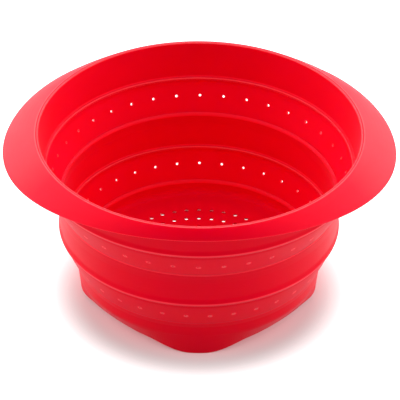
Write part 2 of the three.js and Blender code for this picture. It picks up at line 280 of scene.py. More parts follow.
def grow(name, seed, tree, sizes, material):
    """Runs a shape tree on a seed mesh, and keeps what it makes as a plain mesh."""
    holder = bpy.data.objects.new(name + "_seed", seed)
    bpy.context.scene.collection.objects.link(holder)
    modifier = holder.modifiers.new("shape", "NODES")
    modifier.node_group = tree
    chosen = {**sizes, "Material": material}
    for item in tree.interface.items_tree:
        if item.in_out == "INPUT" and item.name in chosen:
            modifier[item.identifier] = chosen[item.name]
    shaped = holder.evaluated_get(bpy.context.evaluated_depsgraph_get())
    mesh = bpy.data.meshes.new_from_object(shaped)
    bpy.data.objects.remove(holder)
    if signed_volume(mesh) < 0:
        mesh.flip_normals()
    mesh.name = name
    piece = bpy.data.objects.new(name, mesh)
    bpy.context.scene.collection.objects.link(piece)
    print(f"{name}: {len(mesh.loop_triangles)} triangles, {signed_volume(mesh) / CM3:.1f} cm3")
    return piece


# %% [markdown]
# ## Sections
#
# A ring of the colander is drawn as the outline of its section: corners with a radius and a
# level, each rounded by its own fillet. Moulded silicone has no sharp edge anywhere, and the
# roundings are what catches the light as thin lines. A holding point beside each rounding keeps
# the flat stretch next to it flat when it is shaded smooth. A corner may also carry a painted
# highlight, which pales the colour where a rounding catches the light and where light shines
# through a thin ridge.

# %% Rounded outlines
ARC_STEPS = 6
HOLD = 0.5


def rounded(corners):
    """Points of a closed outline, from corners of radius, level, fillet and, if any, painted highlight.

    A corner without a fillet is a plain point, and its painted highlight runs on along its flats.
    """
    corners = [(*corner, 0.0)[:4] for corner in corners]
    places = [Vector(corner[:2]) for corner in corners]
    # The painted highlight of a corner without a fillet runs on along the flats beside it.
    highlight_on_flats = [0.0 if fillet else pale_tint_and_highlight for _, _, fillet, pale_tint_and_highlight in corners]
    count = len(corners)
    halves, reaches = [], []
    for i, (_, _, fillet, _) in enumerate(corners):
        half = (places[i - 1] - places[i]).angle(places[(i + 1) % count] - places[i]) / 2
        halves.append(half)
        reaches.append(fillet / math.tan(half) if fillet else 0.0)
    points = []
    for i, (_, _, fillet, pale_tint_and_highlight) in enumerate(corners):
        follower = (i + 1) % count
        here, before, after = places[i], places[i - 1], places[follower]
        if not fillet:
            points.append((*here, pale_tint_and_highlight))
            continue
        back, on = before - here, after - here
        room_back = back.length - reaches[i] - reaches[i - 1]
        room_on = on.length - reaches[i] - reaches[follower]
        if min(room_back, room_on) < 0:
            raise ValueError(f"the fillets at corner {i} {tuple(here)} have no room")
        back, on = back.normalized(), on.normalized()
        hold_back = reaches[i] + min(HOLD, room_back / 3)
        hold_on = reaches[i] + min(HOLD, room_on / 3)
        centre = here + (back + on).normalized() * fillet / math.sin(halves[i])
        spoke = here + back * reaches[i] - centre
        turn = math.pi - 2 * halves[i]
        if back.cross(on) > 0:
            turn = -turn
        points.append((*(here + back * hold_back), highlight_on_flats[i - 1]))
        for step in range(ARC_STEPS + 1):
            angle = turn * step / ARC_STEPS
            c, s = math.cos(angle), math.sin(angle)
            x = centre.x + spoke.x * c - spoke.y * s
            z = centre.y + spoke.x * s + spoke.y * c
            points.append((x, z, pale_tint_and_highlight))
        points.append((*(here + on * hold_on), highlight_on_flats[follower]))
    return points


def section_seed(name, first, second=None):
    """A seed for a ring: the outline of one section, with a second one in its attributes."""
    first = rounded(first)
    second = rounded(second) if second else first
    count = len(first)
    edges = [(i, (i + 1) % count) for i in range(count)]
    mesh = bpy.data.meshes.new(name)
    mesh.from_pydata([(r * MM, 0, z * MM) for r, z, _ in first], edges, [])
    other = mesh.attributes.new("second", "FLOAT_VECTOR", "POINT")
    other.data.foreach_set("vector", [value * MM for r, z, _ in second for value in (r, 0, z)])
    # The painted highlights of both outlines are kept in attributes, which the finish reads.
    for label, outline in (("ridge", first), ("second ridge", second)):
        ridge = mesh.attributes.new(label, "FLOAT", "POINT")
        ridge.data.foreach_set("value", [pale_tint_and_highlight for _, _, pale_tint_and_highlight in outline])
    return mesh


# %% [markdown]
# ## Rings with two sections
#
# The wall is the same all round, but the rim is narrow at the front and wide at its wings, and
# the base stands on four feet with a raised edge between them. Both follow one rule: the section
# at any angle lies between two drawn ones. So the tree takes both, and two shares, one for width
# and one for height, say how far the section has gone from the first to the second. The painted
# highlight of its ridges goes with the width.

# %% The ring tree
def ring_tree(name, sizes, shares_at):
    """A tree that skins a ring. shares_at gives the width and height shares at an angle."""
    tree, size = start_tree(name, {"Segments": SEGMENTS, **sizes})
    profile = size["Geometry"]
    count = Wire.node(tree, "GeometryNodeAttributeDomainSize", sockets={"Geometry": profile})
    grid = Wire.node(
        tree,
        "GeometryNodeMeshGrid",
        sockets={
            "Size X": 1.0,
            "Size Y": 1.0,
            "Vertices X": count + 1,
            "Vertices Y": size["Segments"] + 1,
        },
    )
    place = Wire.node(tree, "ShaderNodeSeparateXYZ", sockets={"Vector": grid["UV Map"]})
    steps = place["X"] * count
    row = steps.math("ROUND", steps) % count
    angle = place["Y"] * (2 * math.pi)

    def attribute(label, kind):
        return Wire.node(tree, "GeometryNodeInputNamedAttribute", {"data_type": kind}, {"Name": label})

    def from_section(value, kind):
        """A value of the section's points, read at the row that a point of the grid is in."""
        return Wire.node(
            tree,
            "GeometryNodeSampleIndex",
            {"data_type": kind},
            {"Geometry": profile, "Value": value, "Index": row},
        )

    ends = []
    for value in (Wire.node(tree, "GeometryNodeInputPosition"), attribute("second", "FLOAT_VECTOR")):
        point = from_section(value, "FLOAT_VECTOR")
        ends.append(Wire.node(tree, "ShaderNodeSeparateXYZ", sockets={"Vector": point}))
    width, height = shares_at(angle, size)
    radius = mix(ends[0]["X"], ends[1]["X"], width)
    level = mix(ends[0]["Z"], ends[1]["Z"], height)
    position = Wire.node(
        tree,
        "ShaderNodeCombineXYZ",
        sockets={"X": radius * sine(angle), "Y": radius * cosine(angle) * -1, "Z": level},
    )
    ring = Wire.node(
        tree, "GeometryNodeSetPosition", sockets={"Geometry": grid["Mesh"], "Position": position}
    )
    # Painted highlight: mixed between both sections and stored on the ring for the finish.
    painted_highlights = [from_section(attribute(label, "FLOAT"), "FLOAT") for label in ("ridge", "second ridge")]
    ring = Wire.node(
        tree,
        "GeometryNodeStoreNamedAttribute",
        {"data_type": "FLOAT", "domain": "POINT"},
        {"Geometry": ring, "Name": "ridge", "Value": mix(*painted_highlights, width)},
    )
    end_tree(tree, ring, size["Material"])
    return tree


# %% [markdown]
# ## The finish
#
# Silicone is translucent: light scatters inside the wall and comes out again nearby, redder than
# it went in. So the finish is a Principled shader with Subsurface. Its gloss is tinted, because
# the lit sides in the photo are a pure red, and a little Sheen gives the haze of a matte skin.
# Three things keep it from looking like paint: the pigment is a little uneven over some
# centimetres, the surface has a fine grain that the fingers feel as talc, and broad, shallow
# waves bend its reflections. A painted highlight turns the colour to a brighter red and then to
# a pale pink as it rises from 0 to 1. The bands are thinner, so they let more light through.

# %% Silicone
# Painted highlights: the bright red and the pale pink that a painted highlight turns the colour to.
PAINTED_RED_HIGHLIGHT, PAINTED_PINK_HIGHLIGHT = (1.0, 0.012, 0.035), (1.0, 0.14, 0.16)
GLOSS_TINT, HAZE_TINT = (1.0, 0.0, 0.1), (1.0, 0.6, 0.7)
SCATTER_RADIUS, SCATTER_DEPTH = (1.0, 0.04, 0.06), 3 * MM
SILICONE_IOR = 1.41
ROUGHNESS, ROUGHNESS_RANGE = 0.44, 0.12
HAZE_ROUGHNESS = 0.3
PIGMENT_SCALE, WAVE_SCALE, GRAIN_SCALE = 45.0, 70.0, 2600.0
GRAIN_IN_PIGMENT = 0.3
WAVE_HEIGHT, GRAIN_HEIGHT = 1.5, 0.25
RELIEF, RELIEF_DEPTH = 0.35, 0.1 * MM


def colour(red, green, blue):
    """A colour as a socket takes it, with its alpha."""
    return (red, green, blue, 1.0)


def noise(tree, place, scale, detail):
    """Noise over the surface, from 0 to 1, whose blotches are about 1 / scale metres wide."""
    return Wire.node(
        tree,
        "ShaderNodeTexNoise",
        {"noise_dimensions": "3D"},
        {"Vector": place, "Scale": scale, "Detail": detail},
    )


def mix_colours(tree, share, first, second):
    """The colour that lies this share of the way from the first to the second."""
    return Wire.node(
        tree,
        "ShaderNodeMix",
        {"data_type": "RGBA"},
        {"Factor_Float": share, "A_Color": first, "B_Color": second},
    )["Result_Color"]


def silicone(name, deep, pale_tint_and_highlight, scatter, haze, gloss):
    """Red silicone between two tints, with its shares of scattered light, haze and gloss."""
    material = bpy.data.materials.new(name)
    material.use_nodes = True
    tree = material.node_tree
    tree.nodes.clear()
    place = Wire.node(tree, "ShaderNodeTexCoord")["Object"]
    pigment = noise(tree, place, PIGMENT_SCALE, detail=3.0)
    waves = noise(tree, place, WAVE_SCALE, detail=1.0)
    grain = noise(tree, place, GRAIN_SCALE, detail=2.0)
    share = pigment * (1 - GRAIN_IN_PIGMENT) + grain * GRAIN_IN_PIGMENT
    tint = mix_colours(tree, share, deep, pale_tint_and_highlight)
    # Painted highlight: an attribute of the mesh pales the colour, first to a bright red, then to a pale
    # pink.
    ridge = Wire.node(tree, "ShaderNodeAttribute", {"attribute_name": "ridge"})["Fac"] * 2
    for share, wanted in ((ridge, PAINTED_RED_HIGHLIGHT), (ridge - 1, PAINTED_PINK_HIGHLIGHT)):
        share = share.math("MINIMUM", share.math("MAXIMUM", share, 0.0), 1.0)
        tint = mix_colours(tree, share, tint, colour(*wanted))
    height = waves * WAVE_HEIGHT + grain * GRAIN_HEIGHT
    relief = Wire.node(
        tree,
        "ShaderNodeBump",
        sockets={"Strength": RELIEF, "Distance": RELIEF_DEPTH, "Height": height},
    )
    surface = Wire.node(
        tree,
        "ShaderNodeBsdfPrincipled",
        sockets={
            "Base Color": tint,
            "Roughness": ROUGHNESS + pigment * ROUGHNESS_RANGE,
            "IOR": SILICONE_IOR,
            "Specular IOR Level": gloss,
            "Specular Tint": colour(*GLOSS_TINT),
            "Subsurface Weight": scatter,
            "Subsurface Radius": SCATTER_RADIUS,
            "Subsurface Scale": SCATTER_DEPTH,
            "Sheen Weight": haze,
            "Sheen Roughness": HAZE_ROUGHNESS,
            "Sheen Tint": colour(*HAZE_TINT),
            "Normal": relief,
        },
    )
    Wire.node(tree, "ShaderNodeOutputMaterial", sockets={"Surface": surface})
    return material


STIFF = silicone(
    "stiff_silicone",
    deep=colour(0.79, 0.0, 0.012),
    pale_tint_and_highlight=colour(0.85, 0.0, 0.018),
    scatter=0.6,
    haze=0.14,
    gloss=0.4,
)
THIN = silicone(
    "thin_silicone",
    deep=colour(0.80, 0.0, 0.014),
    pale_tint_and_highlight=colour(0.86, 0.001, 0.021),
    scatter=0.8,
    haze=0.1,
    gloss=0.2,
)

# %% [markdown]
# ## The rim and the upper wall
#
# The upper wall leans out a little and ends in the crest. From there the rim rolls over and hangs
# outside. It is a narrow collar at the front and back, and runs out into two wide wings, which
# are the handles. Its edge drops further at the wings than at the front. A bead runs round the
# foot of the wall outside, and a thin rib inside, where the wall takes over from the fold band.

# %% Rim section
# The last value of each is a painted highlight: none on the collar at the front, a painted sheen over
# the wings.
RIM_FRONT = {"reach": 120.0, "drop": 8.8, "pale_tint_and_highlight": 0.0}
RIM_WING = {"reach": 139.0, "drop": 16.0, "pale_tint_and_highlight": 0.66}
RIM_START = Vector((RIM_RADIUS + 1.3, CREST - 0.45))
RIM_ROOT_LEVEL = CREST - 4.5
RIM_CROWN = 1.6
RIM_EDGE_WALL = 2.0
RIM_EDGE_FILLET = 0.8
RIM_CURVE_STEPS, UNDERSIDE_STEPS = 7, 4


def left_of(way):
    """The direction at a right angle to the left of this way."""
    along = way.normalized()
    return Vector((-along.y, along.x))


def crowned(start, end, crown, steps, pale_tint_and_highlight=0.0):
    """Points of a flat arch from start to end, both left out, that rises by half of crown."""
    top = (start + end) / 2 + left_of(end - start) * crown
    shares = [step / steps for step in range(1, steps)]
    return [(*(start * (1 - t) ** 2 + top * 2 * t * (1 - t) + end * t**2), 0, pale_tint_and_highlight) for t in shares]


def bead_foot(wall, foot):
    """Corners of the foot of a stiff wall, from under its bead, outside, to its rib, inside."""

    def outside(rise, depth):
        return wall(foot + rise) + WALL / 2 + depth, foot + rise

    def inside(rise, depth):
        return wall(foot + rise) - WALL / 2 - depth, foot + rise

    # A corner is its rise over the foot and its depth from the skin, then fillet and painted highlight.
    return [
        (*outside(5.5, 0.0), 6.0),
        (*outside(1.7, 1.3), 1.3, 0.68),
        (*outside(0.0, 0.4), 0.5, 0.3),
        (*inside(-1.5, 0.6), 0.2, 0.5),
        (*inside(-1.0, 1.7), 0.4, 0.58),
        (*inside(0.6, 1.9), 0.8, 0.67),
        (*inside(1.4, 0.1), 0.6, 0.4),
    ]


def rim_section(reach, drop, pale_tint_and_highlight):
    """Corners of the upper wall and a rim that reaches this far out and drops this far down."""
    edge = Vector((reach, CREST - drop))
    under = edge - left_of(edge - RIM_START) * RIM_EDGE_WALL
    root = Vector((upper_wall(RIM_ROOT_LEVEL) + WALL / 2, RIM_ROOT_LEVEL))
    return [
        *bead_foot(upper_wall, UPPER_FOLD_TOP),
        # The crest, the outer slope of the rim and its edge carry painted highlights.
        (RIM_RADIUS - WALL / 2, CREST, 0.9, 0.8),
        (RIM_RADIUS + 0.9, CREST, 0.8, 0.9),
        (*RIM_START, 0, pale_tint_and_highlight),
        *crowned(RIM_START, edge, RIM_CROWN, RIM_CURVE_STEPS, pale_tint_and_highlight),
        (*edge, RIM_EDGE_FILLET, 0.5),
        (*under, RIM_EDGE_FILLET, 0.6),
        *crowned(root, under, RIM_CROWN / 2, UNDERSIDE_STEPS)[::-1],
        (*root, 0),
    ]


# %% Rim piece
def rim_shares(angle, size):
    """Both shares are 0 at the front and back and 1 at the wings, and rise by their own power."""
    side = abs(sine(angle))
    return side ** size["Plan power"], side ** size["Drop power"]


rim_tree = ring_tree("winged rim", {"Plan power": 1.9, "Drop power": 4.5}, rim_shares)
rim_seed = section_seed("rim_section", rim_section(**RIM_FRONT), rim_section(**RIM_WING))
rim = grow("rim_and_upper_wall", rim_seed, rim_tree, {"Segments": RIM_SEGMENTS}, STIFF)
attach(rim, "rim")
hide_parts("right_grip", "left_grip", "front_rim", "back_rim", "upper_wall", "upper_wall_bead")

# %% [markdown]
# ## The middle wall
#
# It has the same bead and rib at its foot. Its top is a rounded shoulder that stands a little
# proud of the fold band above it, outside and in. The section is the same all round, so the tree
# for plain rings leaves both shares at 0.

# %% Middle wall section
SHOULDER_START = 2.0
SHOULDER_RISE = 1.6
SHOULDER_FILLET = 1.9


def shoulder(top, foot_radius, top_radius):
    # The last value of a corner, where it has one, is a painted highlight on the shoulder's roundings.
    """Corners of a rounded shoulder over a wall, from inside to outside."""
    return [
        (foot_radius - WALL / 2, top - 8.0, 8.0),
        (foot_radius - WALL / 2 - 0.6, top + SHOULDER_RISE, SHOULDER_FILLET, 0.5),
        (top_radius + 0.5, top + SHOULDER_RISE, 0.3, 0.5),
        (top_radius + WALL / 2 + 0.8, top + 1.0, 0.9, 0.65),
        (foot_radius + WALL / 2 + 0.5, top - 2.5, 2.0, 0.1),
        (foot_radius + WALL / 2, top - 7.0, 4.0),
    ]


middle_section = [
    *bead_foot(middle_wall, LOWER_FOLD_TOP),
    *shoulder(UPPER_FOLD_FOOT, middle_wall(UPPER_FOLD_FOOT - SHOULDER_START), MIDDLE_TOP_RADIUS),
]


# %% Middle wall piece
def even_shares(angle, size):
    """The first section, all round."""
    return 0.0, 0.0


plain_tree = ring_tree("plain ring", {}, even_shares)
middle_seed = section_seed("middle_section", middle_section)
middle = grow("middle_wall_ring", middle_seed, plain_tree, {"Segments": SEGMENTS}, STIFF)
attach(middle, "middle")
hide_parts("middle_wall", "middle_wall_bead", "middle_shoulder")

# %% [markdown]
# ## The base
#
# Under the floor the base is a round skirt. Lower down it turns into a rounded square with a foot
# at each corner, and its edge rises by 5.5 mm between two feet, so that water runs off. Inside,
# the wall curves into the floor. One section is drawn at a foot, and one halfway between two.
# Its shoulder is like the middle wall's, but a little flatter outside.

# %% Base section
BASE_CORNER_RADIUS, BASE_SIDE_RADIUS = 85.0, 78.8
ARCH_HEIGHT = 5.5
FLOOR_EDGE = 74.0
SKIRT_EDGE_FILLET = 0.8


def base_section(edge_radius, edge_level):
    """Corners of the base, from the floor's edge over the wall and down to the skirt's edge."""
    # The last value of a corner, where it has one, is a painted highlight on the shoulder's roundings.
    return [
        (FLOOR_EDGE, FLOOR_LEVEL, 0),
        (BASE_RADIUS - WALL - 0.2, FLOOR_LEVEL, 5.0),
        (BASE_RADIUS - WALL / 2 - 0.9, LOWER_FOLD_FOOT + SHOULDER_RISE, SHOULDER_FILLET, 0.5),
        (BASE_RADIUS + 0.5, LOWER_FOLD_FOOT + SHOULDER_RISE, 0.3, 0.5),
        (BASE_RADIUS + WALL / 2 + 0.2, LOWER_FOLD_FOOT + 0.8, 0.8, 0.3),
        (BASE_RADIUS + 0.5, LOWER_FOLD_FOOT - 3.0, 3.0),
        (BASE_RADIUS, FLOOR_UNDERSIDE, 9.0),
        (edge_radius, edge_level, SKIRT_EDGE_FILLET),
        (edge_radius - WALL, edge_level, SKIRT_EDGE_FILLET),
        (BASE_RADIUS - WALL - 0.8, FLOOR_UNDERSIDE, 3.0),
        (FLOOR_EDGE, FLOOR_UNDERSIDE, 0),
    ]


# %% Base piece
def base_shares(angle, size):
    """Both shares are 0 at the four feet and 1 halfway between two.

    The width follows a wave. The height stays 0 for a foot's half angle, then rises to the arch.
    """
    quarter = math.pi / 2
    lobe = sine(angle * 2)
    from_foot = abs((angle + quarter / 2) % quarter - quarter / 2)
    rise = Wire.node(
        size["Material"].output.id_data,
        "ShaderNodeMapRange",
        {"interpolation_type": "SMOOTHSTEP"},
        {"Value": from_foot, "From Min": size["Foot half angle"], "From Max": size["Arch half angle"]},
    )
    return lobe * lobe, rise


base_sizes = {"Foot half angle": math.radians(4), "Arch half angle": math.radians(27)}
base_tree = ring_tree("footed ring", base_sizes, base_shares)
at_foot = base_section(BASE_CORNER_RADIUS, 0.0)
at_arch = base_section(BASE_SIDE_RADIUS, ARCH_HEIGHT)
base_seed = section_seed("base_section", at_foot, at_arch)
base = grow("base_bowl", base_seed, base_tree, {"Segments": SEGMENTS}, STIFF)
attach(base, "base")
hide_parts("base_shoulder", "base_skirt", "front_foot", "right_foot", "back_foot", "left_foot")

# %% [markdown]
# ## The perforated floor
#
# The floor is a flat disc with rings of holes, 10.25 mm apart. Each ring has seven holes more
# than the one inside it. The tree numbers the holes from the middle outwards and works out each
# one's ring and angle from its number, then cuts them all in one Boolean. The cutter flares above
# the floor, which gives each hole the small chamfer of a moulded one, and widens downwards from
# a narrow land, as a mould's pins do. The disc is flat, so the Boolean's long faces don't show.

# %% Hole cutter
HOLE_RADIUS = 1.4
HOLE_CHAMFER = 0.25
HOLE_LAND = 0.8
HOLE_DRAFT = 1.5
CUTTER_ABOVE, CUTTER_BELOW = 1.0, 0.25
CUTTER_SIDES = 20


def cutter_seed(thickness):
    """A cutter for one hole of a disc of this thickness, whose middle is at the origin."""
    half = thickness / 2
    outline = [
        (HOLE_RADIUS + HOLE_DRAFT, -half - CUTTER_BELOW),
        (HOLE_RADIUS, half - HOLE_LAND),
        (HOLE_RADIUS, half - HOLE_CHAMFER),
        (HOLE_RADIUS + (HOLE_CHAMFER + CUTTER_ABOVE), half + CUTTER_ABOVE),
    ]
    turns = [2 * math.pi * side / CUTTER_SIDES for side in range(CUTTER_SIDES)]
    points = [(r * math.cos(t) * MM, r * math.sin(t) * MM, z * MM) for r, z in outline for t in turns]
    last = len(outline) - 1
    foot, head = range(CUTTER_SIDES), range(last * CUTTER_SIDES, (last + 1) * CUTTER_SIDES)
    faces = [tuple(foot)[::-1], tuple(head)]
    for row in range(last):
        for side in range(CUTTER_SIDES):
            a, b = row * CUTTER_SIDES + side, row * CUTTER_SIDES + (side + 1) % CUTTER_SIDES
            faces.append((a, b, b + CUTTER_SIDES, a + CUTTER_SIDES))
    mesh = bpy.data.meshes.new("hole_cutter")
    mesh.from_pydata(points, [], faces)
    return mesh


# %% Floor piece
RINGS = 6
RING_STEP = 7
RING_PITCH = 10.25
ROUNDING_GUARD = 0.001


def floor_tree(sizes):
    """A tree for a disc with rings of holes. The first ring has as many holes as the step."""
    tree, size = start_tree("perforated disc", sizes)
    number = Wire.node(tree, "GeometryNodeInputIndex")
    root = number.math("SQRT", number * 8 / size["Step"] + 1)
    ring = root.math("CEIL", (root - (1 + ROUNDING_GUARD)) / 2)
    place_in_ring = number - ring * (ring - 1) / 2 * size["Step"]
    angle = place_in_ring / (ring * size["Step"]) * (2 * math.pi)
    radius = ring * size["Pitch"]
    centre = Wire.node(
        tree,
        "ShaderNodeCombineXYZ",
        sockets={"X": radius * sine(angle), "Y": radius * cosine(angle), "Z": size["Level"]},
    )
    centres = Wire.node(tree, "GeometryNodePoints", sockets={"Count": size["Holes"], "Position": centre})
    cutters = Wire.node(
        tree, "GeometryNodeInstanceOnPoints", sockets={"Points": centres, "Instance": size["Geometry"]}
    )
    cutters = Wire.node(tree, "GeometryNodeRealizeInstances", sockets={"Geometry": cutters})
    disc = Wire.node(
        tree,
        "GeometryNodeMeshCylinder",
        sockets={"Vertices": SEGMENTS, "Radius": size["Radius"], "Depth": size["Wall"]},
    )
    lift = Wire.node(tree, "ShaderNodeCombineXYZ", sockets={"Z": size["Level"]})
    disc = Wire.node(tree, "GeometryNodeTransform", sockets={"Geometry": disc, "Translation": lift})
    cut = Wire.node(
        tree, "GeometryNodeMeshBoolean", {"solver": "MANIFOLD"}, {"Mesh 1": disc, "Mesh 2": cutters}
    )
    end_tree(tree, cut, size["Material"])
    return tree


floor_sizes = {
    "Radius": FLOOR_EDGE * MM,
    "Wall": (FLOOR_LEVEL - FLOOR_UNDERSIDE) * MM,
    "Level": (FLOOR_LEVEL + FLOOR_UNDERSIDE) / 2 * MM,
    "Holes": 1 + RING_STEP * sum(range(RINGS + 1)),
    "Step": float(RING_STEP),
    "Pitch": RING_PITCH * MM,
}
floor_seed = cutter_seed(FLOOR_LEVEL - FLOOR_UNDERSIDE)
floor = grow("perforated_floor", floor_seed, floor_tree(floor_sizes), floor_sizes, STIFF)
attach(floor, "base")
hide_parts("floor_plate")
print("holes in the floor:", floor_sizes["Holes"])

# %% [markdown]
# ## The fold bands
#
# A band is a row of equal tiles, each with one round hole. One tile is drawn flat, with rings of
# faces round its hole, so that the hole's rounded lip and the smooth skin beside it need no
# Boolean. The tree bends the tile onto the cone of the band, and turns copies of it round the
# axis. At its top a band swells inside, so that it runs softly into the rib of the wall above.
# Bores and their lips carry a painted highlight, for the light that comes through the thin edge of a
# hole.

# %% Skins of a band
HOLE_LIP = 0.3
OUTER_LIP_REACH, INNER_LIP_REACH = 1.1, 0.7
COLLAR = 6.0
HINGE_NECK = 3.0
TOP_SWELL = 0.9
# Painted highlight on the inner skin at the top and foot hinges.
TOP_HINGE_HIGHLIGHT, FOOT_HINGE_HIGHLIGHT = 0.55, 0.3


def smooth(share):
    """A share from 0 to 1 that starts and ends gently."""
    share = min(1.0, max(0.0, share))
    return share * share * (3 - 2 * share)


def skins(y, half_height):
    """Outer and inner skin of a band. It is thin at its fold lines and swells inside at its top."""
    from_top, from_foot = half_height - y, half_height + y
    neck = smooth(min(from_top, from_foot) / HINGE_NECK)
    thickness = mix(HINGE_WALL, BAND_WALL, neck) / 2
    return thickness, -thickness - TOP_SWELL * (1 - smooth(from_top / COLLAR))


def painted_highlight_at(x, y, z, half_height, hole_radius):
    """A hole's bore and lips carry a full painted highlight, and the inner skin some at the fold lines.
    """
    lip = HOLE_LIP * (OUTER_LIP_REACH if z > 0 else INNER_LIP_REACH)
    if math.hypot(x, y) < hole_radius + lip:
        return 1.0
    if z > 0:
        return 0.0
    hinge = TOP_HINGE_HIGHLIGHT if y > 0 else FOOT_HINGE_HIGHLIGHT
    return hinge * (1 - smooth((half_height - abs(y)) / HINGE_NECK))


# %% Band tile
TILE_COLUMNS, COLLAR_ROWS = 8, 6
SKIN_SHARES = (1.0, 0.62, 0.35, 0.15, 0.0)
LIP_TURNS = (math.pi / 6, math.pi / 3)
ROW_SHARES = (0.0, 0.35, 0.7)
NECK_STEPS = (0.0, 0.8, 1.5, 2.0, 2.35, 2.65)
TUCK = 0.4


def band_tile(name, width, height, hole_radius):
    """One flat tile of a band, with its hole, both lips and the skins up to the fold lines."""
    corners, faces = {}, []

    def corner(x, y, z):
        key = round(x, 5), round(y, 5), round(z, 5)
        return corners.setdefault(key, len(corners))

    def face(*points):
        faces.append([corner(*point) for point in points])

    def panel(x0, x1, start, end):
        """A face between two columns, from one height and skin to another."""
        (y0, z0), (y1, z1) = start, end
        face((x0, y0, z0), (x1, y0, z0), (x1, y1, z1), (x0, y1, z1))

    side, half, top = width / 2, height / 2, BAND_WALL / 2
    across = [mix(-side, side, i / TILE_COLUMNS) for i in range(TILE_COLUMNS + 1)]
    upward = [mix(-COLLAR, COLLAR, i / COLLAR_ROWS) for i in range(COLLAR_ROWS + 1)]
    collar = [(x, -COLLAR) for x in across[:-1]] + [(side, y) for y in upward[:-1]]
    collar += [(-x, -y) for x, y in collar]

    def skin(share, z):
        """A ring that lies this share of the way from the hole's lip to the collar."""
        ring = []
        for x, y in collar:
            reach = math.hypot(x, y) / (hole_radius + HOLE_LIP)
            ring.append((mix(x / reach, x, share), mix(y / reach, y, share), z))
        return ring

    def bore(radius, z):
        """A round ring in the lip or the bore of the hole."""
        return [(x * radius / math.hypot(x, y), y * radius / math.hypot(x, y), z) for x, y in collar]

    lips = []
    for turn in LIP_TURNS:
        radius = hole_radius + HOLE_LIP * (1 - math.sin(turn))
        lips.append((radius, top - HOLE_LIP * (1 - math.cos(turn))))
    lips.append((hole_radius, top - HOLE_LIP))
    rings = [skin(share, top) for share in SKIN_SHARES] + [bore(*lip) for lip in lips]
    rings += [bore(radius, -z) for radius, z in lips[::-1]]
    rings += [skin(share, -top) for share in SKIN_SHARES[::-1]]
    for outer, inner in zip(rings, rings[1:]):
        for i in range(len(collar)):
            j = (i + 1) % len(collar)
            face(outer[i], outer[j], inner[j], inner[i])

    neck, rise = half - HINGE_NECK, half + TUCK
    rows = [mix(COLLAR, neck, share) for share in ROW_SHARES]
    rows += [neck + step for step in NECK_STEPS] + [half, rise]
    columns = list(zip(across, across[1:]))
    for y0, y1 in zip(rows, rows[1:]):
        for s in (1, -1):
            (out0, in0), (out1, in1) = skins(s * y0, half), skins(s * y1, half)
            for x0, x1 in columns:
                panel(s * x0, s * x1, (s * y0, out0), (s * y1, out1))
                panel(s * x1, s * x0, (s * y0, in0), (s * y1, in1))
    for s in (1, -1):
        outer, inner = skins(s * rise, half)
        for x0, x1 in columns:
            panel(s * x0, s * x1, (s * rise, outer), (s * rise, inner))

    mesh = bpy.data.meshes.new(name)
    mesh.from_pydata([tuple(value * MM for value in point) for point in corners], [], faces)
    # Painted highlight at each corner of the tile, for the finish.
    ridge = mesh.attributes.new("ridge", "FLOAT", "POINT")
    ridge.data.foreach_set("value", [painted_highlight_at(*point, half, hole_radius) for point in corners])
    return mesh


# %% Band tree
BAND_MEASURES = ("Radius", "Level", "Slope", "Height", "Bulge", "First")


def band_tree():
    """A tree that bends a tile onto a cone and turns copies of it. Each band sets its sizes."""
    tree, size = start_tree("perforated band", {"Holes": 1, **dict.fromkeys(BAND_MEASURES, 1.0)})
    flat = Wire.node(tree, "GeometryNodeInputPosition")
    place = Wire.node(tree, "ShaderNodeSeparateXYZ", sockets={"Vector": flat})
    rise = place["Y"] / size["Height"] * 2
    depth = place["Z"] + size["Bulge"] * (1 - rise * rise)
    angle = place["X"] / size["Radius"]
    radius = size["Radius"] + place["Y"] * sine(size["Slope"]) + depth * cosine(size["Slope"])
    level = size["Level"] + place["Y"] * cosine(size["Slope"]) - depth * sine(size["Slope"])
    bent = Wire.node(
        tree,
        "ShaderNodeCombineXYZ",
        sockets={"X": radius * sine(angle), "Y": radius * cosine(angle) * -1, "Z": level},
    )
    tile = Wire.node(
        tree, "GeometryNodeSetPosition", sockets={"Geometry": size["Geometry"], "Position": bent}
    )
    axis = Wire.node(tree, "GeometryNodePoints", sockets={"Count": size["Holes"]})
    number = Wire.node(tree, "GeometryNodeInputIndex")
    turn = number / size["Holes"] * (2 * math.pi) + size["First"]
    rotation = Wire.node(tree, "ShaderNodeCombineXYZ", sockets={"Z": turn})
    copies = Wire.node(
        tree,
        "GeometryNodeInstanceOnPoints",
        sockets={"Points": axis, "Instance": tile, "Rotation": rotation},
    )
    end_tree(tree, copies, size["Material"])
    return tree


# %% [markdown]
# Each band is a fixed mesh between the fold lines of the rings below and above it, and isn't
# attached to either of their bodies. When a ring sinks past the next one, the real band rolls
# over and ends up inside out.

# %% Band pieces
BAND_HOLE_RADIUS = 0.9
BAND_BULGE = 0.4
shared_band_tree = band_tree()


def band(name, node, foot, foot_radius, top, top_radius, holes, first):
    """A band between two fold lines. Its first hole is at this angle from the front."""
    slope = math.atan2(top_radius - foot_radius, top - foot)
    height = math.hypot(top_radius - foot_radius, top - foot)
    radius = (foot_radius + top_radius) / 2
    tile = band_tile(name + "_tile", 2 * math.pi * radius / holes, height, BAND_HOLE_RADIUS)
    sizes = {
        "Holes": holes,
        "Radius": radius * MM,
        "Level": (foot + top) / 2 * MM,
        "Slope": slope,
        "Height": height * MM,
        "Bulge": BAND_BULGE * MM,
        "First": first,
    }
    piece = grow(name, tile, shared_band_tree, sizes, THIN)
    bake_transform(piece)
    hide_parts(node)


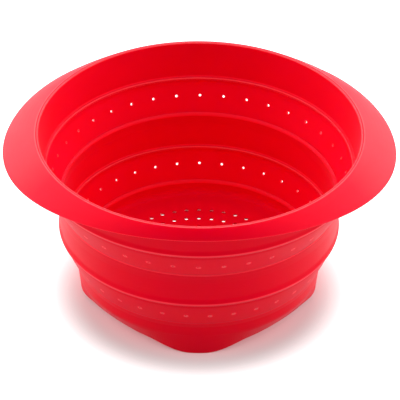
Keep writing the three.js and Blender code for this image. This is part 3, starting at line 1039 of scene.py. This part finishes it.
band(
    "upper_fold",
    "upper_fold_band",
    foot=UPPER_FOLD_FOOT,
    foot_radius=MIDDLE_TOP_RADIUS,
    top=UPPER_FOLD_TOP,
    top_radius=UPPER_FOOT_RADIUS,
    holes=38,
    first=0.0,
)
band(
    "lower_fold",
    "lower_fold_band",
    foot=LOWER_FOLD_FOOT,
    foot_radius=BASE_RADIUS,
    top=LOWER_FOLD_TOP,
    top_radius=MIDDLE_FOOT_RADIUS,
    holes=35,
    first=math.pi,
)

# %% [markdown]
# ## The view
#
# The camera stands 2.5 m away and looks down at 35.5 degrees with a long lens, which is what the
# photo's ellipses ask for. It is turned by half a degree about its own axis. The camera and the
# table's reach are given in metres.

# %% Camera
CAMERA_TILT = 0.62043
CAMERA_DISTANCE = 2.5
CAMERA_ROLL = math.radians(0.5)
TARGET = Vector((0.00065, 0.0, 0.07225))

lens = bpy.data.cameras.new("lens")
lens.lens = 315.84
lens.sensor_width = 36.0
lens.clip_start, lens.clip_end = 0.1, 20.0
camera = bpy.data.objects.new("camera", lens)
bpy.context.scene.collection.objects.link(camera)
gaze = Vector((0.0, math.cos(CAMERA_TILT), -math.sin(CAMERA_TILT)))
turned = gaze.to_track_quat("-Z", "Y").to_matrix() @ Matrix.Rotation(CAMERA_ROLL, 3, "Z")
camera.matrix_world = Matrix.Translation(TARGET - gaze * CAMERA_DISTANCE) @ turned.to_4x4()
bpy.context.scene.camera = camera

# %% [markdown]
# ## The studio
#
# The object stands on a table in soft light. No lamp is needed: the world holds a faint even
# light and wide soft boxes at the sides, behind and above. By the Light Path node, the camera and
# reflections see it as at least white. The table is grey paper, which throws little light up at
# the walls, and glows for the camera and reflections, so that it looks as white as in the photo.
# It hardly glows in a ring round the base, where the object's soft shadow lies. Under the floor
# it glows again, so the holes show white, and by the base it blushes red, as it would from light
# that has come through the silicone.

# %% Light for the eye
WHITE = colour(1, 1, 1)


def seen_by_eye(tree):
    """1 for light that reaches the camera straight, in a reflection or through something clear."""
    path = Wire.node(tree, "ShaderNodeLightPath")
    seen = path["Is Camera Ray"].math("MAXIMUM", path["Is Camera Ray"], path["Is Glossy Ray"])
    return seen.math("MAXIMUM", seen, path["Is Transmission Ray"])


def emission(tree, strength, tint=WHITE):
    return Wire.node(tree, "ShaderNodeEmission", sockets={"Color": tint, "Strength": strength})


# %% Table
TABLE_REACH = 3.0
PAPER = colour(0.62, 0.62, 0.62)
PAPER_ROUGHNESS = 0.5
SHADE_GLOW, OPEN_GLOW, FLOOR_GLOW = 0.12, 0.88, 1.2
PAINTED_RED_BOUNCE = colour(0.3, 0.0, 0.01)


def table_finish():
    """Grey paper that glows for the eye, all but where the object shades it."""
    material = bpy.data.materials.new("table_paper")
    material.use_nodes = True
    tree = material.node_tree
    tree.nodes.clear()
    paper = Wire.node(
        tree, "ShaderNodeBsdfDiffuse", sockets={"Color": PAPER, "Roughness": PAPER_ROUGHNESS}
    )
    spot = Wire.node(tree, "ShaderNodeTexCoord")["Object"]
    place = Wire.node(tree, "ShaderNodeSeparateXYZ", sockets={"Vector": spot})

    def rise(middle, start, end):
        """From 0 to 1 between two distances from a point of the y axis, in millimetres."""
        off = place["Y"] - middle * MM
        distance = (place["X"] ** 2 + off**2) ** 0.5
        return Wire.node(
            tree,
            "ShaderNodeMapRange",
            {"interpolation_type": "SMOOTHSTEP"},
            {"Value": distance, "From Min": start * MM, "From Max": end * MM},
        )

    # Painted shade and painted light: the glow is held back in a ring round the base, added under the
    # floor, and tinted red beside the base as a painted red bounce.
    out_of_shade = rise(middle=-10, start=80, end=120)
    painted_light_under_floor = 1 - rise(middle=14, start=62, end=72)
    red_bounce_ring = rise(middle=0, start=60, end=72) - rise(middle=0, start=72, end=100)
    glow = SHADE_GLOW + out_of_shade * OPEN_GLOW + painted_light_under_floor * FLOOR_GLOW
    lights = [
        emission(tree, seen_by_eye(tree) * glow),
        emission(tree, seen_by_eye(tree) * red_bounce_ring, PAINTED_RED_BOUNCE),
    ]
    for light in lights:
        paper = Wire.node(tree, "ShaderNodeAddShader", sockets={0: paper, 1: light})
    Wire.node(tree, "ShaderNodeOutputMaterial", sockets={"Surface": paper})
    return material


def table():
    square = ((-1, -1), (1, -1), (1, 1), (-1, 1))
    mesh = bpy.data.meshes.new("table")
    mesh.from_pydata([(x * TABLE_REACH, y * TABLE_REACH, 0) for x, y in square], [], [(0, 1, 2, 3)])
    mesh.materials.append(table_finish())
    top = bpy.data.objects.new("table", mesh)
    bpy.context.scene.collection.objects.link(top)
    top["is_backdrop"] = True


table()

# %% Surround
EVEN_LIGHT = 0.13
SOFTBOX_FOCUS = 4
OVERHEAD = (0, 90, 0.8)
RIGHT, LEFT = (97, 10, 3.5), (-97, 10, 3.5)
LOW_BEHIND, HIGH_BEHIND = (180, 12, 0.3), (180, 45, 1.2)


def surround(even, softboxes):
    """Even light, and a soft box for each azimuth from the front, height and strength."""
    world = bpy.data.worlds.new("surround")
    bpy.context.scene.world = world
    world.use_nodes = True
    tree = world.node_tree
    tree.nodes.clear()
    way = Wire.node(tree, "ShaderNodeTexCoord")["Generated"]
    sky = Wire.node(tree, "ShaderNodeSeparateXYZ", sockets={"Vector": way})
    light = even
    for azimuth, height, strength in softboxes:
        a, h = math.radians(azimuth), math.radians(height)
        sideways = sky["X"] * (math.sin(a) * math.cos(h))
        facing = sideways + sky["Y"] * (-math.cos(a) * math.cos(h)) + sky["Z"] * math.sin(h)
        light = facing.math("MAXIMUM", facing, 0.0) ** SOFTBOX_FOCUS * strength + light
    seen = light.math("MAXIMUM", light, 1.0)
    strength = light + (seen - light) * seen_by_eye(tree)
    backdrop = Wire.node(tree, "ShaderNodeBackground", sockets={"Color": WHITE, "Strength": strength})
    Wire.node(tree, "ShaderNodeOutputWorld", sockets={"Surface": backdrop})


surround(EVEN_LIGHT, [OVERHEAD, RIGHT, LEFT, LOW_BEHIND, HIGH_BEHIND])
bpy.context.scene.view_settings.view_transform = "Standard"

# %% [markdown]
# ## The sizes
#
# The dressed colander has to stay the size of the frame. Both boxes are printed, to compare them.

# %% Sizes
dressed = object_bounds()
boxes = {"cad": cad_box, "visual": dressed}
for name, box in boxes.items():
    print(name, [round((high - low) / MM, 1) for low, high in zip(*box)])
